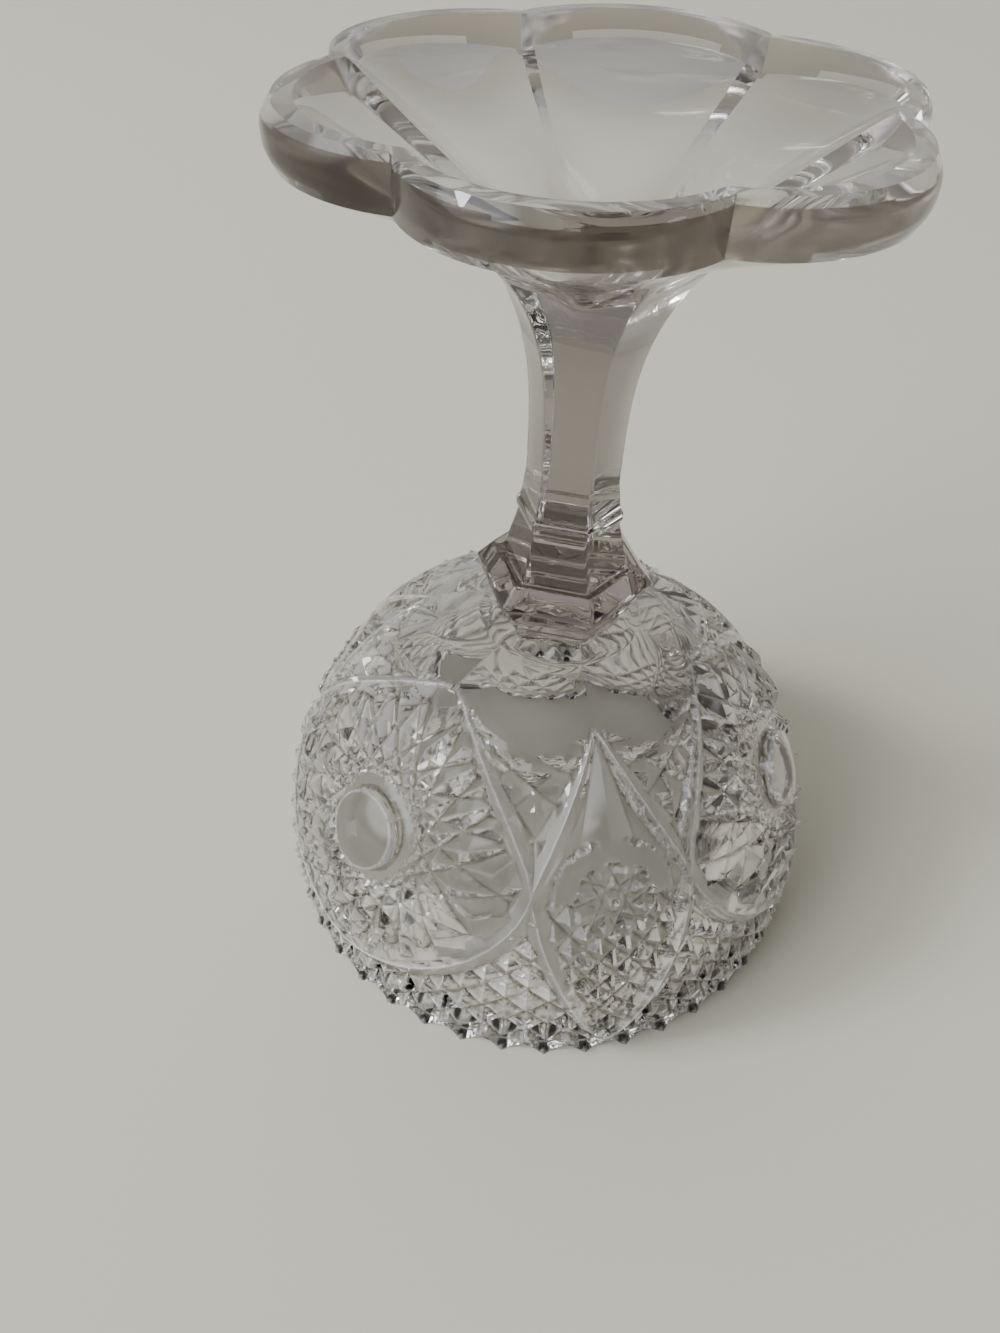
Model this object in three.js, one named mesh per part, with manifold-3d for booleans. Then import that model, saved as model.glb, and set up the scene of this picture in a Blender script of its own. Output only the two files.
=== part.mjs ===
// An open pressed-glass compote standing upside down on its rim, with its lobed foot in the air.
// Millimetres, +Z up. The origin is the centre of the rim circle, on the surface it stands on.
// Azimuths are degrees from -Y towards +X, and one corner of the hexagonal stem is at azimuth 0.

import * as THREE from 'three';
import Module from 'manifold-3d';
import { mergeVertices } from 'three/addons/utils/BufferGeometryUtils.js';

const wasm = await Module();
wasm.setup();

// Bowl: a deep dome with a short, nearly straight wall at the rim
const rimRadius = 63.5;
const bowlRadius = 64;
const widestHeight = 12;
const bowlHeight = 77;
const seatRadius = 16;
const domePower = 2.15;
const domeRoot = 1.5;
const wallThickness = 5;
const baseThickness = 6;
const crownRadius = 14;

// Rim teeth
const toothCount = 42;
const toothDepth = 2.4;
const toothTip = 2;

// Ornament: large medallions with a button each, and slim diamonds between them. Raised bars
// outline both on a carved ground, which lies a little below the plain glass above it.
const motifCount = 3;
const patternTurn = -4.5;
const motifLevel = 50;
const medallionHalfAngle = 42;
const medallionHalfHeight = 35;
const medallionPower = 1.5;
const medallionBarWidth = 3.8;
const medallionFootBarWidth = 7.2;
const diamondTopHeight = 34;
const diamondBottomHeight = 46;
const diamondPower = 1.15;
const diamondBarWidth = 1;
const groundDepth = 1.3;
const groundTopLevel = 74;
const groundTopRamp = 4;
const steepFlank = 1.5;
const gentleFlank = 3.2;
const buttonLevel = 48;
const buttonRadius = 9;
const buttonHeight = 0.6;
const buttonBevel = 0.8;
const moatWidth = 3;
const moatDepth = 2;

// Long facets round each button: V grooves along lines that all touch its sunk ground
const rayGrooves = 9;
const rayTurn = 10;
const rayDepth = 2.6;
const rayHalfWidth = 4;

// Diamond points over the rim, in step with the teeth
const pointHeight = 8;
const pointDepth = 2.2;
const pointClearance = 1.1;

// Three hexagonal steps between the bowl and the collar
const lowStepRadius = 12.9;
const lowStepHeight = 4;
const middleStepRadius = 14.9;
const middleStepHeight = 3.2;
const highStepRadius = 16.6;
const highStepHeight = 3.8;

// Hexagonal collar: a bevelled flange under a slim cone
const collarRadius = 18.8;
const collarEdge = 0.8;
const collarBevelRadius = 15.2;
const collarBevelHeight = 4;
const coneBaseRadius = 13.2;
const coneBaseDrop = 0.8;
const coneTopRadius = 10.2;
const coneHeight = 11;

// Hexagonal stem: a bead at its lower end, a waist, and the start of the flare
const beadRadius = 10.9;
const beadHeight = 2;
const waistRadius = 9.3;
const waistFoot = 9;
const stemLength = 47;

// Foot: the flare opens out into six round lobes with sharp notches between them. The hollow in
// it has a petal for each lobe, and a ridge runs from each notch down to its middle.
const notchRadius = 43.3;
const lobeReach = 51.2;
const flareLength = 60;
const flarePower = 3.5;
const lobeBlendStart = 43;
const footEdgeHeight = 8;
const footUnderInset = 1.2;
const footUnderHeight = 2.4;
const footBevelInset = 1.8;
const footBevelHeight = 2.2;
const hollowNotchRim = 2.8;
const hollowLobeInset = 2.2;
const hollowDepth = 28;
const hollowPower = 1.25;
const stemSides = 6;

// How finely the curved surfaces are divided
const pointsPerLobe = 12;
const domeRows = 8;
const hollowRows = 7;
const flareRows = 9;
const outlinePoints = 28;
const groundRows = 6;
const plainRows = 4;
const raySegments = 4;
const buttonSides = 24;
const sliverWidth = 0.03;

// How far a cutter reaches beyond the surface that it cuts
const cutterLift = 2;

// Steps for measuring along the wall
const wallStep = 0.05;
const normalReach = 1.5;
const rayStep = 0.5;

// Levels that follow from the sizes above
const middleStepBase = bowlHeight + lowStepHeight;
const highStepBase = middleStepBase + middleStepHeight;
const collarBase = highStepBase + highStepHeight;
const stemBase = collarBase + collarEdge + collarBevelHeight - coneBaseDrop + coneHeight;
const flareStart = stemBase + waistFoot;
const flareEnd = flareStart + flareLength;
const footBase = stemBase + stemLength;
const footTop = flareEnd + footEdgeHeight;
const diamondHalfAngle = 180 / motifCount - medallionHalfAngle;

const glass = { color: 0xb4afae, roughness: 0.05, metalness: 0 };

const radians = THREE.MathUtils.degToRad;

// A point at an azimuth, a radius and a height
function polar(azimuth, radius, height) {
  const angle = radians(azimuth);
  return new THREE.Vector3(radius * Math.sin(angle), -radius * Math.cos(angle), height);
}

// Leaves only merged positions, drops flat triangles and turns the faces outwards
function closedGeometry(source) {
  const geometry = source.index ? source.clone() : source;
  geometry.deleteAttribute('normal');
  geometry.deleteAttribute('uv');
  const merged = mergeVertices(geometry, 1e-4);
  const position = merged.getAttribute('position');
  const corners = [0, 1, 2].map(() => new THREE.Vector3());
  const kept = [];
  let volume = 0;
  for (let first = 0; first < merged.index.count; first += 3) {
    const [a, b, c] = [0, 1, 2].map((offset) => merged.index.getX(first + offset));
    if (a !== b && b !== c && c !== a) {
      kept.push(a, b, c);
      [a, b, c].forEach((vertex, slot) => corners[slot].fromBufferAttribute(position, vertex));
      volume += corners[0].dot(corners[1].clone().cross(corners[2]));
    }
  }
  if (volume < 0) {
    kept.reverse();
  }
  merged.setIndex(kept);
  return merged;
}

function solidOf(geometry) {
  const closed = closedGeometry(geometry);
  return new wasm.Manifold(new wasm.Mesh({
    numProp: 3,
    vertProperties: new Float32Array(closed.getAttribute('position').array),
    triVerts: new Uint32Array(closed.index.array),
  }));
}

// The slivers that cuts leave along an edge are closed up first
function geometryOf(solid) {
  const mesh = solid.simplify(sliverWidth).getMesh();
  const geometry = new THREE.BufferGeometry();
  geometry.setAttribute('position', new THREE.BufferAttribute(mesh.vertProperties, 3));
  geometry.setIndex(new THREE.BufferAttribute(mesh.triVerts, 1));
  return geometry;
}

// Turns a profile of [radius, height] pairs about Z, with its first side edge at azimuth 0
function turned(profile, sides) {
  const points = profile.map(([radius, height]) => new THREE.Vector2(radius, height));
  return new THREE.LatheGeometry(points, sides).rotateX(Math.PI / 2);
}

// Skins a list of rings with the same number of points; an end ring of one point is a tip
function skinned(rings) {
  const geometry = new THREE.BufferGeometry();
  const positions = [];
  const triangle = (...points) => points.forEach((point) => positions.push(point.x, point.y, point.z));
  for (let row = 1; row < rings.length; row += 1) {
    const [low, high] = [rings[row - 1], rings[row]];
    const count = Math.max(low.length, high.length);
    for (let index = 0; index < count; index += 1) {
      const next = (index + 1) % count;
      const [a, b] = [low[index % low.length], low[next % low.length]];
      const [c, d] = [high[index % high.length], high[next % high.length]];
      if (low.length > 1) {
        triangle(a, b, high.length > 1 ? d : c);
      }
      if (high.length > 1) {
        triangle(a, d, c);
      }
    }
  }
  geometry.setAttribute('position', new THREE.Float32BufferAttribute(positions, 3));
  return geometry;
}

// Radius of a dome curve that leaves its widest circle upright and ends level at the top
function domeRadius(height, widest, end, top) {
  const rise = Math.max(0, (height - widestHeight) / (top - widestHeight));
  return end + (widest - end) * Math.max(0, 1 - rise ** domePower) ** (1 / domeRoot);
}

function outerRadius(height) {
  if (height < widestHeight) {
    return THREE.MathUtils.lerp(rimRadius, bowlRadius, height / widestHeight);
  }
  return domeRadius(height, bowlRadius, seatRadius, bowlHeight);
}

// Heights of the rows of a dome, closer together towards the top where it turns level
function domeHeights(top) {
  const heights = [];
  for (let row = 0; row <= domeRows; row += 1) {
    const share = Math.sin((Math.PI / 2) * (row / domeRows));
    heights.push(THREE.MathUtils.lerp(widestHeight, top, share));
  }
  return heights;
}

// Height of the place on the outer wall at a distance measured up the wall from the rim
function wallHeight(distance) {
  let height = 0;
  let travelled = 0;
  while (travelled < distance && height < bowlHeight - wallStep) {
    travelled += Math.hypot(wallStep, outerRadius(height + wallStep) - outerRadius(height));
    height += wallStep;
  }
  return height;
}

function wallLength() {
  let length = 0;
  for (let height = 0; height < bowlHeight - wallStep; height += wallStep) {
    length += Math.hypot(wallStep, outerRadius(height + wallStep) - outerRadius(height));
  }
  return length;
}

function wallPoint(azimuth, distance) {
  const height = wallHeight(distance);
  return polar(azimuth, outerRadius(height), height);
}

function wallNormal(azimuth, distance) {
  const along = polar(azimuth + 90, 1, 0);
  const [above, below] = [normalReach, -normalReach].map((step) => wallPoint(azimuth, distance + step));
  return along.cross(above.sub(below)).normalize();
}

// A place under the wall's surface
function underWall(azimuth, distance, depth) {
  return wallPoint(azimuth, distance).addScaledVector(wallNormal(azimuth, distance), -depth);
}

function levels(low, high, count) {
  return Array.from({ length: count + 1 }, (_, row) => low + ((high - low) * row) / count);
}

// The bowl's wall in section, from the flat crown of the hollow out to the rim, up the carved
// ground and on up the plain glass to the seat
function bowlProfile() {
  const crown = bowlHeight - baseThickness;
  const inner = domeHeights(crown).map((z) => [
    domeRadius(z, bowlRadius - wallThickness, crownRadius, crown), z]);
  const section = (distance, depth) => {
    const place = underWall(0, distance, depth);
    return [-place.y, place.z];
  };
  const ground = levels(0, groundTopLevel, groundRows).slice(1);
  const plain = levels(groundTopLevel + groundTopRamp, wallLength(), plainRows).slice(0, -1);
  return [
    [0, crown],
    ...inner.reverse(),
    [rimRadius - wallThickness, 0],
    [rimRadius - groundDepth, 0],
    ...ground.map((distance) => section(distance, groundDepth)),
    ...plain.map((distance) => section(distance, 0)),
    [seatRadius, bowlHeight],
    [0, bowlHeight],
  ];
}

// The two ornament outlines: pointed ovals on the wall
const medallion = {
  halfAngle: medallionHalfAngle,
  topHeight: medallionHalfHeight,
  bottomHeight: medallionHalfHeight,
  power: medallionPower,
  topBar: medallionBarWidth,
  footBar: medallionFootBarWidth,
  flank: steepFlank,
};
const diamond = {
  halfAngle: diamondHalfAngle,
  topHeight: diamondTopHeight,
  bottomHeight: diamondBottomHeight,
  power: diamondPower,
  topBar: diamondBarWidth,
  footBar: diamondBarWidth,
  flank: gentleFlank,
};

// Points of an outline, as offsets in degrees round the wall and millimetres up it
function motifOutline(motif) {
  const outline = [];
  for (let index = 0; index < outlinePoints; index += 1) {
    const turn = (2 * Math.PI * index) / outlinePoints;
    const across = Math.sign(Math.sin(turn)) * Math.abs(Math.sin(turn)) ** (2 / motif.power);
    const up = Math.sign(Math.cos(turn)) * Math.abs(Math.cos(turn)) ** (2 / motif.power);
    outline.push([across * motif.halfAngle, up * (up > 0 ? motif.topHeight : motif.bottomHeight)]);
  }
  return outline;
}

// 1 on an outline, less inside it and more outside
function motifShare(across, up, motif) {
  const height = up > 0 ? motif.topHeight : motif.bottomHeight;
  const sum = (Math.abs(across) / motif.halfAngle) ** motif.power + (Math.abs(up) / height) ** motif.power;
  return sum ** (1 / motif.power);
}

// A raised bar along an outline, level with the plain glass, with sloping flanks. Its root lies
// as far under the ground as the ground lies under the plain glass.
function raisedBar(azimuth, motif) {
  const places = motifOutline(motif).map(([across, up]) => [azimuth + across, motifLevel + up]);
  const path = places.map((place) => wallPoint(...place));
  const sections = path.map((point, index) => {
    const before = path[(index + path.length - 1) % path.length];
    const after = path[(index + 1) % path.length];
    const normal = wallNormal(...places[index]);
    const side = normal.clone().cross(after.clone().sub(before)).normalize();
    const lowness = THREE.MathUtils.smoothstep(motifLevel - places[index][1], 0, motif.bottomHeight / 2);
    const half = THREE.MathUtils.lerp(motif.topBar, motif.footBar, lowness) / 2;
    const root = point.clone().addScaledVector(normal, -2 * groundDepth);
    return [
      point.clone().addScaledVector(side, half),
      root.clone().addScaledVector(side, half + 2 * motif.flank),
      root.clone().addScaledVector(side, -half - 2 * motif.flank),
      point.clone().addScaledVector(side, -half),
    ];
  });
  return solidOf(skinned([...sections, sections[0]]));
}

// A V groove across a medallion, along a line that touches the sunk ground round its button
function rayGroove(azimuth, turn) {
  const hub = buttonRadius + moatWidth;
  const placeAt = (along) => {
    const across = hub * Math.cos(turn) - along * Math.sin(turn);
    const distance = buttonLevel + hub * Math.sin(turn) + along * Math.cos(turn);
    return [across / (radians(1) * outerRadius(wallHeight(distance))), distance];
  };
  const inside = (along) => {
    const [across, distance] = placeAt(along);
    return motifShare(across, distance - motifLevel, medallion) < 1;
  };
  const [first, last] = [-rayStep, rayStep].map((step) => {
    let along = 0;
    while (inside(along)) {
      along += step;
    }
    return along;
  });
  const halfWidth = rayHalfWidth * (1 + cutterLift / rayDepth);
  const sections = levels(first, last, raySegments).map((along) => {
    const [across, distance] = placeAt(along);
    const [beyond, beyondDistance] = placeAt(along + rayStep);
    const point = wallPoint(azimuth + across, distance);
    const normal = wallNormal(azimuth + across, distance);
    const side = wallPoint(azimuth + beyond, beyondDistance).sub(point).cross(normal).normalize();
    const top = point.clone().addScaledVector(normal, cutterLift);
    return [
      point.clone().addScaledVector(normal, -rayDepth),
      top.clone().addScaledVector(side, halfWidth),
      top.clone().addScaledVector(side, -halfWidth),
    ];
  });
  const ends = [sections[0], sections[raySegments]].map((section) => [section[0]]);
  return solidOf(skinned([ends[0], ...sections, ends[1]]));
}

// A four-sided point on the wall, level with the bars, with its root in the ground
function diamondPoint(azimuth, distance) {
  const halfPitch = 180 / toothCount;
  const corners = [[halfPitch, 0], [0, pointHeight / 2], [-halfPitch, 0], [0, -pointHeight / 2]];
  return solidOf(skinned([
    [wallPoint(azimuth, distance)],
    corners.map(([across, up]) => underWall(azimuth + across, distance + up, pointDepth)),
    [underWall(azimuth, distance, 2 * groundDepth)],
  ]));
}

// Places of the diamond points: rows in step with the teeth, below the motifs and between them
function diamondPointPlaces() {
  const places = [];
  for (let row = 1; (row * pointHeight) / 2 < motifLevel; row += 1) {
    const distance = (row * pointHeight) / 2;
    for (let tooth = 0; tooth < toothCount; tooth += 1) {
      const azimuth = (360 * (tooth + (row % 2) / 2)) / toothCount;
      const fromDiamond = nearestOffset(azimuth, 0);
      const fromMedallion = nearestOffset(azimuth, 180 / motifCount);
      const up = distance - motifLevel;
      const clear = [motifShare(fromDiamond, up, diamond), motifShare(fromMedallion, up, medallion)]
        .every((share) => share > pointClearance);
      if (clear) {
        places.push([azimuth, distance]);
      }
    }
  }
  return places;
}

// Degrees from an azimuth to the nearest motif of a kind, whose first one has a start azimuth
function nearestOffset(azimuth, start) {
  const period = 360 / motifCount;
  return THREE.MathUtils.euclideanModulo(azimuth - patternTurn - start + period / 2, period) - period / 2;
}

// A round form turned about the wall's normal at the middle of a medallion
function turnedOnWall(profile, azimuth) {
  const geometry = turned(profile, buttonSides);
  const normal = wallNormal(azimuth, buttonLevel);
  const aim = new THREE.Quaternion().setFromUnitVectors(new THREE.Vector3(0, 0, 1), normal);
  geometry.applyQuaternion(aim);
  geometry.translate(...wallPoint(azimuth, buttonLevel));
  return solidOf(geometry);
}

// The sunk ground round a button
function moat(azimuth) {
  return turnedOnWall([
    [0, -moatDepth],
    [buttonRadius, -moatDepth],
    [buttonRadius + moatWidth, 0],
    [buttonRadius + moatWidth, cutterLift],
    [0, cutterLift],
  ], azimuth);
}

// A polished button that stands in its sunk ground, with its root inside the wall
function button(azimuth) {
  const root = (wallThickness + moatDepth) / 2;
  return turnedOnWall([
    [0, -root],
    [buttonRadius, -root],
    [buttonRadius, buttonHeight - buttonBevel],
    [buttonRadius - buttonBevel, buttonHeight],
    [0, buttonHeight + buttonBevel / 2],
  ], azimuth);
}

// The wedge cut out of the rim between two teeth
function toothGap(azimuth) {
  const halfPitch = (Math.PI * rimRadius) / toothCount;
  const halfWidth = halfPitch - toothTip / 2;
  const spread = halfWidth * (1 + cutterLift / toothDepth);
  const wedge = new THREE.Shape();
  wedge.moveTo(-spread, -cutterLift);
  wedge.lineTo(spread, -cutterLift);
  wedge.lineTo(0, toothDepth);
  wedge.closePath();
  const outerEnd = rimRadius + wallThickness;
  const innerEnd = outerEnd - wallThickness * 3;
  const geometry = new THREE.ExtrudeGeometry(wedge, { depth: outerEnd - innerEnd, bevelEnabled: false });
  geometry.rotateX(Math.PI / 2);
  geometry.translate(0, -innerEnd, 0);
  geometry.rotateZ(radians(azimuth));
  return solidOf(geometry);
}

function bowl() {
  let body = solidOf(turned(bowlProfile(), toothCount));
  for (let motif = 0; motif < motifCount; motif += 1) {
    const diamondAzimuth = patternTurn + (360 * motif) / motifCount;
    const medallionAzimuth = diamondAzimuth - 180 / motifCount;
    for (let ray = 0; ray < rayGrooves; ray += 1) {
      body = body.subtract(rayGroove(medallionAzimuth, radians(rayTurn + (360 * ray) / rayGrooves)));
    }
    body = body.subtract(moat(medallionAzimuth)).add(button(medallionAzimuth));
    body = body.add(raisedBar(medallionAzimuth, medallion)).add(raisedBar(diamondAzimuth, diamond));
  }
  body = body.add(wasm.Manifold.union(diamondPointPlaces().map((place) => diamondPoint(...place))));
  body = body.trimByPlane([0, 0, 1], 0);
  for (let tooth = 0; tooth < toothCount; tooth += 1) {
    body = body.subtract(toothGap((360 * (tooth + 0.5)) / toothCount));
  }
  return geometryOf(body);
}

function neck() {
  return turned([
    [0, bowlHeight],
    [lowStepRadius, bowlHeight],
    [lowStepRadius, middleStepBase],
    [middleStepRadius, middleStepBase],
    [middleStepRadius, highStepBase],
    [highStepRadius, highStepBase],
    [highStepRadius, collarBase],
    [0, collarBase],
  ], stemSides);
}

function collar() {
  const bevelBase = collarBase + collarEdge;
  const bevelTop = bevelBase + collarBevelHeight;
  return turned([
    [0, collarBase],
    [collarRadius, collarBase],
    [collarRadius, bevelBase],
    [collarBevelRadius, bevelTop],
    [coneBaseRadius, bevelTop - coneBaseDrop],
    [coneTopRadius, stemBase],
    [0, stemBase],
  ], stemSides);
}

// Corner radius of the stem and the foot's underside, which is one curve from waist to notch
function flareRadius(height) {
  const rise = Math.max(0, (height - flareStart) / flareLength);
  return waistRadius + (notchRadius - waistRadius) * rise ** flarePower;
}

function stem() {
  const beadTop = stemBase + beadHeight;
  const profile = [
    [0, stemBase],
    [beadRadius, stemBase],
    [beadRadius, beadTop],
    [(beadRadius + waistRadius) / 2, beadTop + beadHeight / 2],
    ...levels(flareStart, footBase, flareRows).map((z) => [flareRadius(z), z]),
    [0, footBase],
  ];
  return turned(profile, stemSides);
}

// Radius of a straight-sided hexagon, as a share of its corner radius
function hexagonShare(azimuth) {
  const fromSide = (azimuth % 60) - 30;
  return Math.cos(radians(30)) / Math.cos(radians(fromSide));
}

// Radius of the lobed outline: each lobe is a circular arc from notch to notch. An inset draws
// the lobe in and leaves the notches where they are.
function lobedRadius(azimuth, inset) {
  const reach = lobeReach - inset;
  const fromLobe = radians((azimuth % 60) - 30);
  const centre = (reach ** 2 - notchRadius ** 2) / (2 * (reach - notchRadius * Math.cos(radians(30))));
  const lobe = reach - centre;
  return centre * Math.cos(fromLobe) + Math.sqrt(lobe ** 2 - (centre * Math.sin(fromLobe)) ** 2);
}

// Radius of the hollow's mouth, which follows the lobes inside the flat band they stand on
function mouthRadius(azimuth) {
  return lobedRadius(azimuth, hollowLobeInset) * (1 - hollowNotchRim / notchRadius);
}

function foot() {
  const azimuths = levels(0, 360, stemSides * pointsPerLobe).slice(0, -1);
  const ring = (radiusAt, height) => azimuths.map((azimuth) => polar(azimuth, radiusAt(azimuth), height));
  const outline = (inset) => (azimuth) => lobedRadius(azimuth, inset);
  const flare = levels(footBase, flareEnd, flareRows).map((height) => {
    const lobes = THREE.MathUtils.smoothstep(height, flareStart + lobeBlendStart, flareEnd);
    const shape = (azimuth) => THREE.MathUtils.lerp(
      hexagonShare(azimuth), lobedRadius(azimuth, footUnderInset) / notchRadius, lobes);
    return ring((azimuth) => flareRadius(height) * shape(azimuth), height);
  });
  const hollow = levels(1, 0, hollowRows).slice(0, -1).map((share) => {
    const rise = hollowDepth * share ** hollowPower;
    return ring((azimuth) => share * mouthRadius(azimuth), footTop - hollowDepth + rise);
  });
  return skinned([
    [polar(0, 0, footBase)],
    ...flare,
    ring(outline(0), flareEnd + footUnderHeight),
    ring(outline(0), footTop - footBevelHeight),
    ring(outline(footBevelInset), footTop),
    ...hollow,
    [polar(0, 0, footTop - hollowDepth)],
  ]);
}

function piece(name, geometry) {
  const mesh = new THREE.Mesh(geometry, new THREE.MeshStandardMaterial(glass));
  mesh.name = name;
  return mesh;
}

const group = new THREE.Group();
group.add(
  piece('bowl', bowl()),
  piece('neck', closedGeometry(neck())),
  piece('collar', closedGeometry(collar())),
  piece('stem', closedGeometry(stem())),
  piece('foot', closedGeometry(foot())),
);

export default group;
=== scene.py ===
# A pressed-glass compote standing upside down on its toothed rim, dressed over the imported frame.
# Lengths are millimetres until a mesh is made. Azimuths are degrees from -Y towards +X, and one
# corner of the hexagonal stem is at azimuth 0. The ornament's levels are distances up the outer
# wall from the rim, and its angles are degrees from a diamond's middle line.
import math

import bpy
import numpy as np
from mathutils import Matrix, Vector


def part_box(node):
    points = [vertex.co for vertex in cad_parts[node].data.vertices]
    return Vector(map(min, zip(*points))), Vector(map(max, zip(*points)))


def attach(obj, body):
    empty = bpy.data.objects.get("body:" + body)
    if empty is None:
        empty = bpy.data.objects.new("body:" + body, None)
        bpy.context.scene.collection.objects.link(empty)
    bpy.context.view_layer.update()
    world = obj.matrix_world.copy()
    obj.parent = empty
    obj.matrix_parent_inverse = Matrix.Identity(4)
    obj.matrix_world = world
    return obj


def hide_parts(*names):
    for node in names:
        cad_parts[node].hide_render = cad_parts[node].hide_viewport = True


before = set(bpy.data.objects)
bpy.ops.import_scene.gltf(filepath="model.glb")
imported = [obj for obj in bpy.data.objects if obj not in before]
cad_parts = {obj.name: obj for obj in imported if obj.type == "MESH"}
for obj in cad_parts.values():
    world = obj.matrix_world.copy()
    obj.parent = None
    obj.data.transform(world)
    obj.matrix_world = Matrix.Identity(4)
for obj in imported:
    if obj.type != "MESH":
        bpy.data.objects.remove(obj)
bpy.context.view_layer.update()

MM = 0.001


def level(node, top):
    """Height of a CAD node's top or base."""
    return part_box(node)[int(top)].z / MM


# Levels and sizes that the frame gives
BOWL_TOP = level("bowl", True)
COLLAR_BASE = level("collar", False)
STEM_BASE = level("stem", False)
FOOT_BASE = level("foot", False)
FOOT_TOP = level("foot", True)
BOWL_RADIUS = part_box("bowl")[1].x / MM

# Bowl: the dome outside and inside
RIM_RADIUS = 63.5
WIDEST_HEIGHT = 12
SEAT_RADIUS = 16
SEAT_STEP = 0.4
DOME_POWER = 2.15
DOME_ROOT = 1.5
WALL = 5
BASE_THICKNESS = 6
CROWN_RADIUS = 14
RIM_BEVEL_OUTSIDE = 0.3
RIM_BEVEL_INSIDE = 0.5
INNER_RIM_LIFT = 0.4

# Rim teeth, and the diamond points cut above them
TOOTH_COUNT = 42
TOOTH_DEPTH = 2.4
TOOTH_FADE = 9
TOOTH_FLAT = 0.32
TOOTH_POWER = 0.9
POINT_ROW = 8
POINT_DEPTH = 2.7
POINT_SLOPE = 0.95
RIM_GROOVE = 0.9
RIM_GROOVE_GROWTH = 0.22

# Ornament: three large medallions and three slim diamonds between them
MOTIFS = 3
HALF_MOTIF = 180 / MOTIFS
PATTERN_TURN = -4.5
MOTIF_LEVEL = 50
MEDALLION_ANGLE = 42
MEDALLION_HEIGHT = 35
MEDALLION_POWER = 1.5
MEDALLION_POINT = MOTIF_LEVEL + MEDALLION_HEIGHT
DIAMOND_ANGLE = HALF_MOTIF - MEDALLION_ANGLE
DIAMOND_TOP = 34
DIAMOND_BOTTOM = 46
DIAMOND_POWER = 1.15
DIAMOND_POINT = MOTIF_LEVEL + DIAMOND_TOP

# Raised bars round the motifs: their half widths at levels, and the slopes of their sides
MEDALLION_BAR_LEVELS = (30, 52, 68, MEDALLION_POINT)
MEDALLION_BAR_HALF_WIDTHS = (3.7, 2.3, 1.7, 0.3)
MEDALLION_BAR_TILT = 0.5
DIAMOND_BAR_LEVELS = (6, MOTIF_LEVEL, DIAMOND_POINT)
DIAMOND_BAR_HALF_WIDTHS = (1.4, 2.4, 0.3)
DIAMOND_BAR_TILT = 0.55
BAR_FLANK = 1.2
BARS_END = MEDALLION_POINT + 2

# Wear on the bars: how far it reaches past them, up the wall and into the glass
WEAR_MARGIN = 0.3
WEAR_END = MEDALLION_POINT + 1
WEAR_DEPTH = 1.6

# Crests of the facets stand lower beside the bars and rise away from them
CREST_RISE = 0.3
CREST_DROP = 0.5

# The line along the motifs' points, the fans under it and the petals over it
LINE_LOW_ANGLE = 21.5
LINE_LOW_LEVEL = 78
LINE_BEVEL = 4
FAN_FACETS = 2
FAN_GROWTH = 0.09
FAN_DEPTH = 2
PETAL_BEVEL = 8
PETAL_DEPTH = 1.2
PETAL_FADE = 12

# Button in the middle of each medallion, in a sunk ring with long facets round it
BUTTON_LEVEL = 48
BUTTON_RADIUS = 9
BUTTON_RISE = 1.2
BUTTON_CURVE = 0.01
BUTTON_BEVEL = 0.6
BUTTON_FLANK = 3.5
MOAT_WIDTH = 2.6
MOAT_DEPTH = 2.4

# Small star in each diamond, with a pit in its middle and a plain crescent over it
STAR_LEVEL = 48
STAR_REACH = 8.5
PIT_DEPTH = 2.4
PIT_SLOPE = 1.6
CRESCENT_REACH = 13
CRESCENT_DEPTH = 0.7
CRESCENT_FALL = 0.02
PRISM_DROP = 0.4

# Hexagonal neck, collar and stem
CORNER_POWER = 70
EDGE_ROUNDING = 0.6
LOW_STEP = (12.9, 4)
MIDDLE_STEP = (14.9, 3.2)
HIGH_STEP_RADIUS = 16.6
COLLAR_RADIUS = 18.8
COLLAR_EDGE = 0.8
COLLAR_BEVEL_RADIUS = 15.2
COLLAR_BEVEL_HEIGHT = 4
CONE_BASE_RADIUS = 13.2
CONE_BASE_DROP = 0.8
CONE_TOP_RADIUS = 10.2
BEAD_RADIUS = 10.9
BEAD_HEIGHT = 2
BEAD_STEP = 0.1
STEM_ROUNDING = 0.7
WAIST_RADIUS = 9.3
WAIST_FOOT = 9

# Foot: the flare opens out into six round lobes with sharp notches between them
NOTCH_RADIUS = 43.3
LOBE_REACH = 51.2
FLARE_LENGTH = 60
FLARE_POWER = 3.5
LOBE_BLEND_START = 43
FOOT_UNDER_INSET = 1.2
FOOT_UNDER_HEIGHT = 2.4
FOOT_BEVEL_INSET = 1.8
FOOT_BEVEL_HEIGHT = 2.2
FOOT_ROUNDING = 1.2
EDGE_DEPTH = 0.6
HOLLOW_NOTCH_RIM = 2.8
HOLLOW_LOBE_INSET = 2.2
HOLLOW_LIP_STEP = 0.4
HOLLOW_DEPTH = 28
HOLLOW_POWER = 1.25

# Rows and columns of the meshes
COLUMNS = TOOTH_COUNT * 14
CARVED_HEIGHT = 90
CARVED_ROWS = 132
PLAIN_ROWS = 14
PLAIN_END_GAP = 0.6
OVERSHOOT = 0.25
INNER_ROWS = 26
STEM_ROWS = 24
FOOT_ROWS = 44
HOLLOW_ROWS = 40

# Painted shade in the grooves: how far round a place the relief is compared, and how it grows darker to
# the rim
CREASE_REACH = 0.7
RIM_SHADE_LEVEL = 34
RIM_SHADE_GAIN = 2.8

# Glass, and the colours that it takes
GLASS_IOR = 1.52
TINT_LENGTH = 0.0098
WHITE = (1, 1, 1, 1)
DEEP_GLASS = (0.29, 0.262, 0.252, 1)
DEEP_SURFACE = (0.71, 0.67, 0.65, 1)
# Painted shade: the foot's upright edge is coloured darker, standing in for the dark room seen through
# it.
EDGE_SHADE = (0.52, 0.48, 0.435, 1)
# Painted shade: the grooves are darkened with this colour, most of all near the rim.
GROOVE_SHADE = (0.26, 0.22, 0.185, 1)
RIPPLE_STRENGTH = 0.08
RIPPLE_DISTANCE = 0.0001
BOUNCES = 32

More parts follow.
